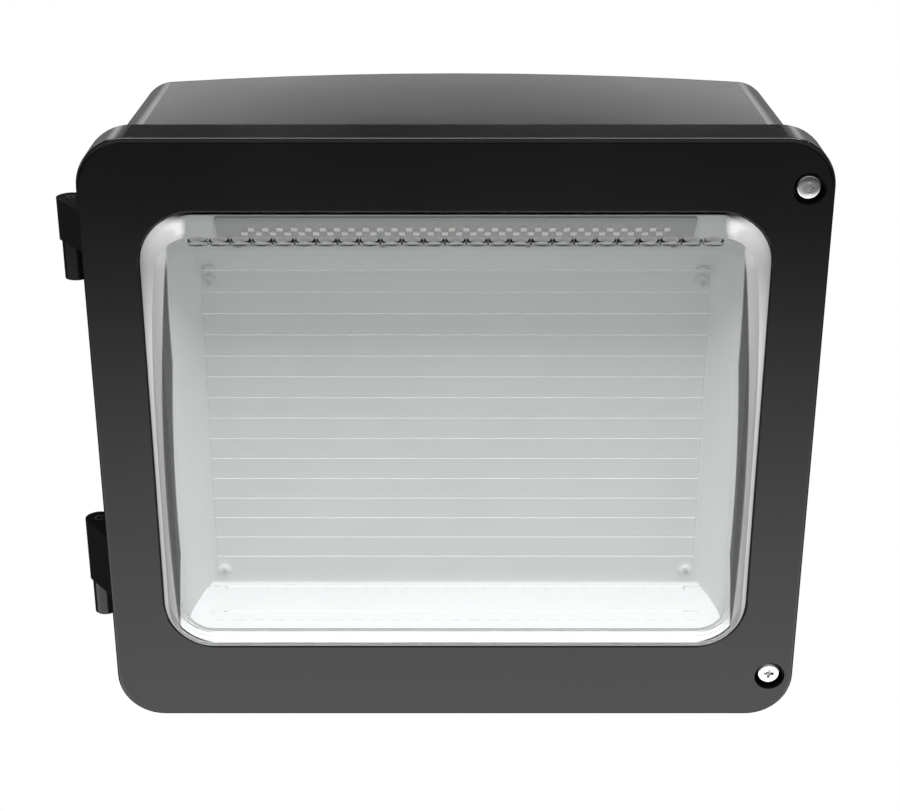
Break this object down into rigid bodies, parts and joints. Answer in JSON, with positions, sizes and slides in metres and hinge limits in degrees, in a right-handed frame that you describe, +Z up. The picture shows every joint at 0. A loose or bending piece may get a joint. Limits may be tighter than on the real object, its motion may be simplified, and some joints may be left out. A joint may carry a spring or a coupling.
{
  "type": "wall pack light",
  "caption": "Outdoor wall pack light: a deep black die-cast housing with a side-hinged door frame, a raised prismatic glass lens and a white LED reflector tray.",
  "frame": {"origin": "centre of the bolt pattern on the flat back face, which stands against the wall", "axes": "+Z up, +Y into the wall, +X to the right seen from the front; the door faces -Y"},
  "size_m": [0.3751, 0.19, 0.318],
  "materials": {
    "black_powder_coat": "fine textured powder coat",
    "prismatic_glass": "pressed glass, polished",
    "silicone": "matt",
    "foam_rubber": "matt",
    "zinc_steel": "bright zinc",
    "spring_steel": "oiled",
    "white_sheet": "gloss white powder coat",
    "bare_aluminium": "mill finish",
    "white_circuit_board": "white solder mask",
    "led_phosphor": "phosphor gel",
    "white_plastic": "moulded",
    "driver_case": "satin anodised",
    "blue_potting": "moulded",
    "green_screw": "green zinc",
    "black_wire": "PVC",
    "white_wire": "PVC",
    "green_wire": "PVC",
    "red_wire": "PVC"
  },
  "bodies": {
    "housing": {"rear_housing": "black_powder_coat", "wall_gasket": "foam_rubber", "door_gasket": "silicone", "conduit_plugs": "black_powder_coat", "reflector": "white_sheet", "reflector_screws": "zinc_steel", "led_bracket": "bare_aluminium", "led_board": "white_circuit_board", "leds": "led_phosphor", "led_board_screws": "zinc_steel", "led_connector": "white_plastic", "led_driver": "driver_case", "driver_screws": "zinc_steel", "surge_protector": "blue_potting", "surge_protector_screw": "zinc_steel", "terminal_block": "white_plastic", "terminal_screws": "zinc_steel", "ground_screw": "green_screw", "ground_lead": "green_wire", "live_lead": "black_wire", "neutral_lead": "white_wire", "led_lead_positive": "red_wire", "led_lead_negative": "black_wire", "surge_lead_live": "black_wire", "surge_lead_neutral": "white_wire", "hinge_pin_upper": "spring_steel", "hinge_pin_lower": "spring_steel"},
    "door": {"door_frame": "black_powder_coat", "lens": "prismatic_glass", "lens_gasket": "silicone", "lens_clips": "zinc_steel", "lens_clip_screws": "zinc_steel"},
    "upper_retainer": {"screw_retainer_upper": "zinc_steel"},
    "upper_screw": {"door_screw_upper": "zinc_steel"},
    "lower_retainer": {"screw_retainer_lower": "zinc_steel"},
    "lower_screw": {"door_screw_lower": "zinc_steel"}
  },
  "joints": [
    {"name": "door_hinge", "type": "hinge", "parent": "housing", "child": "door", "pos_m": [-0.188, -0.154, 0], "axis": [0, 0, -1], "range_deg": [0, 180]},
    {"name": "upper_screw_travel", "type": "slide", "parent": "door", "child": "upper_retainer", "axis": [0, -1, 0], "range_m": [0, 0.008]},
    {"name": "upper_screw_turn", "type": "hinge", "parent": "upper_retainer", "child": "upper_screw", "pos_m": [0.1675, -0.165, 0.1345], "axis": [0, -1, 0], "range_deg": [0, 2880]},
    {"name": "lower_screw_travel", "type": "slide", "parent": "door", "child": "lower_retainer", "axis": [0, -1, 0], "range_m": [0, 0.008]},
    {"name": "lower_screw_turn", "type": "hinge", "parent": "lower_retainer", "child": "lower_screw", "pos_m": [0.1675, -0.165, -0.1345], "axis": [0, -1, 0], "range_deg": [0, 2880]}
  ],
  "couplings": [
    {"joint": "upper_screw_turn", "follows": "upper_screw_travel", "rad_per_m": 6283},
    {"joint": "lower_screw_turn", "follows": "lower_screw_travel", "rad_per_m": 6283}
  ]
}
